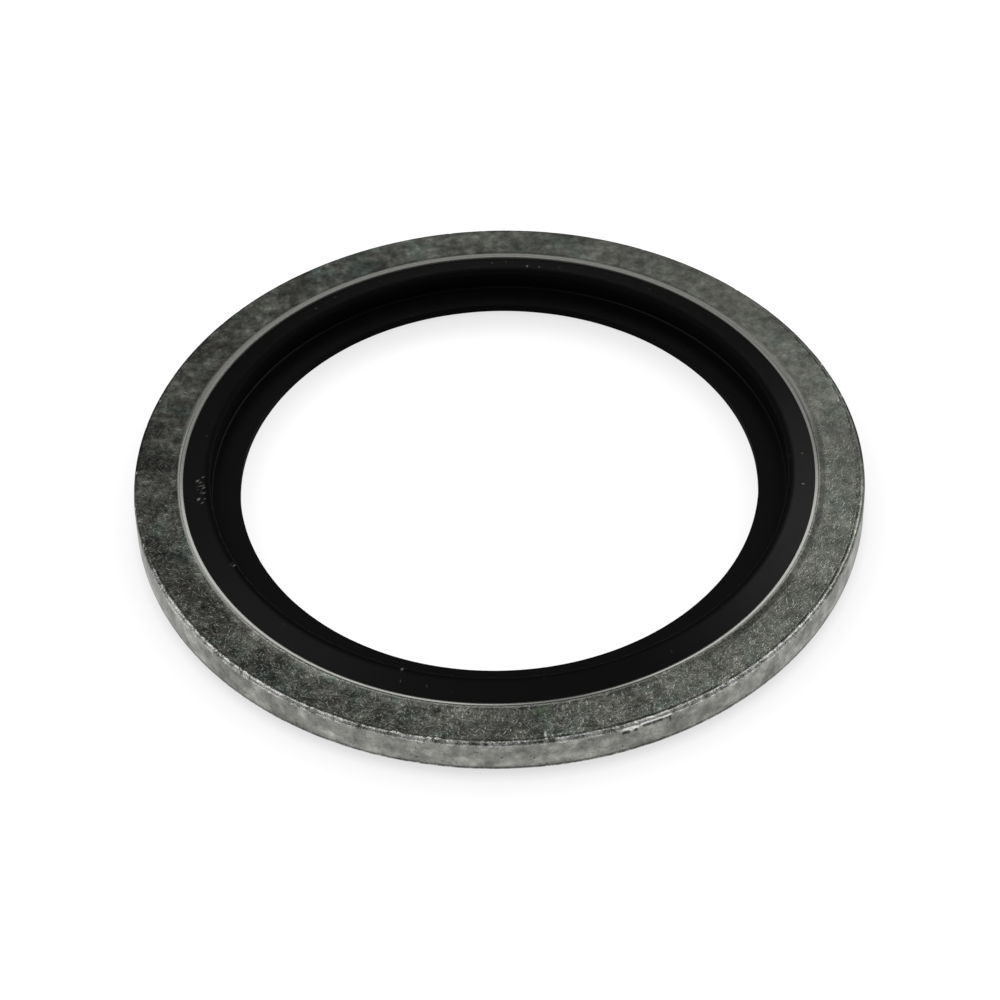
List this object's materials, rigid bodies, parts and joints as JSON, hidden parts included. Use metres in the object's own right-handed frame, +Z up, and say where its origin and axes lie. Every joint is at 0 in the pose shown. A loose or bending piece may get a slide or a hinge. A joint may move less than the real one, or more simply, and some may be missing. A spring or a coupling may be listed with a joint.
{
  "type": "self-centring bonded sealing washer",
  "caption": "Flat zinc-plated steel ring with black rubber bonded to its inner edge: a raised sealing lip on each face and a thin web inside that centres it on a threaded bolt or fitting.",
  "frame": {"origin": "centre of the bore, at mid-thickness of the washer", "axes": "+Z up along the bore; the washer is round, so +X and +Y are any two directions across it"},
  "size_m": [0.039, 0.039, 0.003],
  "materials": {
    "zinc_plated_steel": "zinc plated and passivated, dull and scuffed on the flat faces, satin on the sheared rim, bright on the inner edge",
    "nitrile_rubber": "moulded, semi-gloss black"
  },
  "bodies": {
    "root": {"steel_ring": "zinc_plated_steel", "rubber_seal": "nitrile_rubber"}
  },
  "joints": []
}
